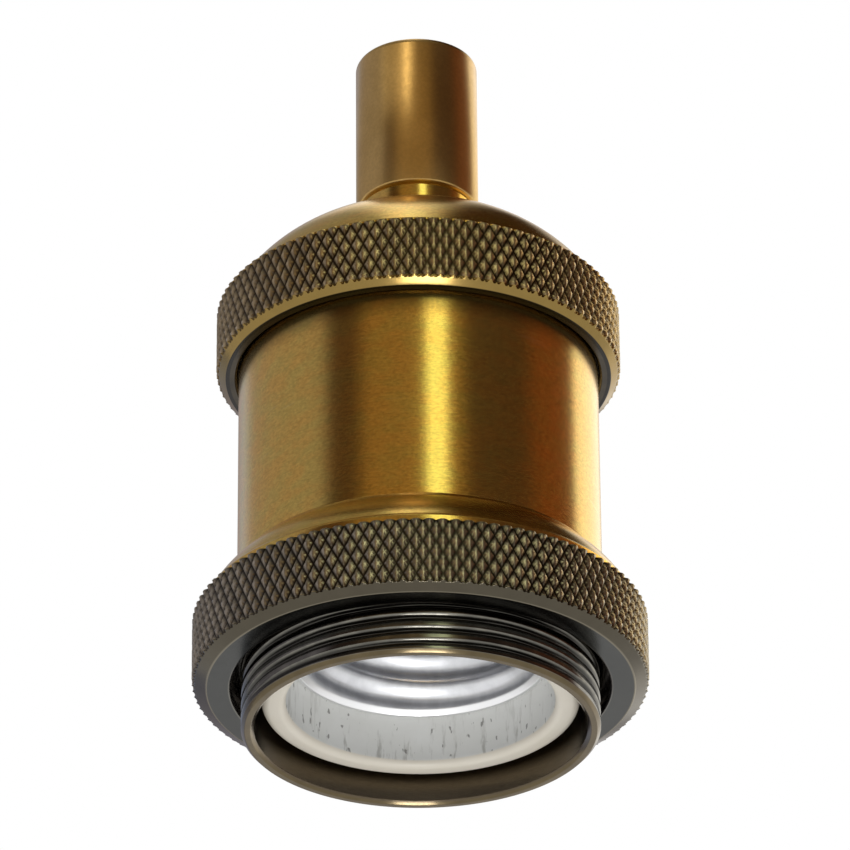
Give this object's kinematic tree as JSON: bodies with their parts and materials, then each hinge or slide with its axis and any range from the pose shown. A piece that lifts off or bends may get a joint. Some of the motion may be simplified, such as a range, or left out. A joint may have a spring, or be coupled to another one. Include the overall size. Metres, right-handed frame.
{
  "type": "lamp holder",
  "caption": "Pendant lamp holder: turned brass sleeve with knurled domed cap and shade ring, cord grip on top, ceramic screw socket inside.",
  "frame": {"origin": "centre of the sleeve's lower rim, on the plane the holder stands on", "axes": "+Z along the holder's axis, from the lamp mouth up to the cord grip; +Y towards the rear, where the cord grip's screw is"},
  "size_m": [0.0498, 0.0498, 0.0844],
  "materials": {
    "sleeve_brass": "antiqued brass, brushed round the body",
    "ring_brass": "antiqued brass, dark in the knurl",
    "cap_brass": "antiqued brass, dark in the knurl, bright on the dome",
    "grip_brass": "antiqued brass, fine brushed",
    "plated_steel": "zinc-plated steel",
    "screw_steel": "zinc-plated steel screws",
    "porcelain": "unglazed to satin electrical porcelain",
    "shell_metal": "rolled bright metal",
    "contact_brass": "bare brass",
    "spring_bronze": "phosphor bronze strip"
  },
  "bodies": {
    "cap": {"top_cap": "cap_brass", "nipple": "plated_steel", "toothed_washer": "plated_steel", "cap_nut": "plated_steel", "bridge_nut": "plated_steel", "mounting_bridge": "plated_steel", "bridge_screw_left": "screw_steel", "bridge_screw_right": "screw_steel", "square_nut_left": "plated_steel", "square_nut_right": "plated_steel", "ceramic_core": "porcelain", "screw_shell": "shell_metal", "contact_spring": "spring_bronze", "contact_rivet": "contact_brass", "live_terminal": "contact_brass", "neutral_terminal": "contact_brass", "shell_rivet_left": "contact_brass", "shell_rivet_right": "contact_brass"},
    "sleeve": {"sleeve": "sleeve_brass"},
    "shade_ring": {"shade_ring": "ring_brass"},
    "cord_grip": {"cord_grip": "grip_brass"},
    "cord_grip_screw": {"cord_grip_screw": "screw_steel"},
    "earth_screw": {"earth_screw": "screw_steel"},
    "live_terminal_screw": {"live_terminal_screw": "screw_steel"},
    "neutral_terminal_screw": {"neutral_terminal_screw": "screw_steel"},
    "contact_button": {"contact_button": "contact_brass"}
  },
  "joints": [
    {"name": "sleeve_unscrew", "type": "slide", "parent": "cap", "child": "sleeve", "axis": [0, 0, -1], "range_m": [0, 0.052]},
    {"name": "shade_ring_unscrew", "type": "slide", "parent": "sleeve", "child": "shade_ring", "axis": [0, 0, -1], "range_m": [0, 0.019]},
    {"name": "cord_grip_unscrew", "type": "slide", "parent": "cap", "child": "cord_grip", "axis": [0, 0, 1], "range_m": [0, 0.009]},
    {"name": "cord_grip_screw_turn", "type": "slide", "parent": "cord_grip", "child": "cord_grip_screw", "axis": [0, 1, 0], "range_m": [0, 0.0024]},
    {"name": "earth_screw_turn", "type": "slide", "parent": "cap", "child": "earth_screw", "axis": [1, 0, 0], "range_m": [0, 0.0015]},
    {"name": "live_screw_turn", "type": "slide", "parent": "cap", "child": "live_terminal_screw", "axis": [0, 1, 0], "range_m": [0, 0.0016]},
    {"name": "neutral_screw_turn", "type": "slide", "parent": "cap", "child": "neutral_terminal_screw", "axis": [0, -1, 0], "range_m": [0, 0.0016]},
    {"name": "contact_press", "type": "slide", "parent": "cap", "child": "contact_button", "axis": [0, 0, 1], "range_m": [0, 0.0015], "stiffness_N_per_m": 1500, "deforming": ["contact_spring"]}
  ]
}
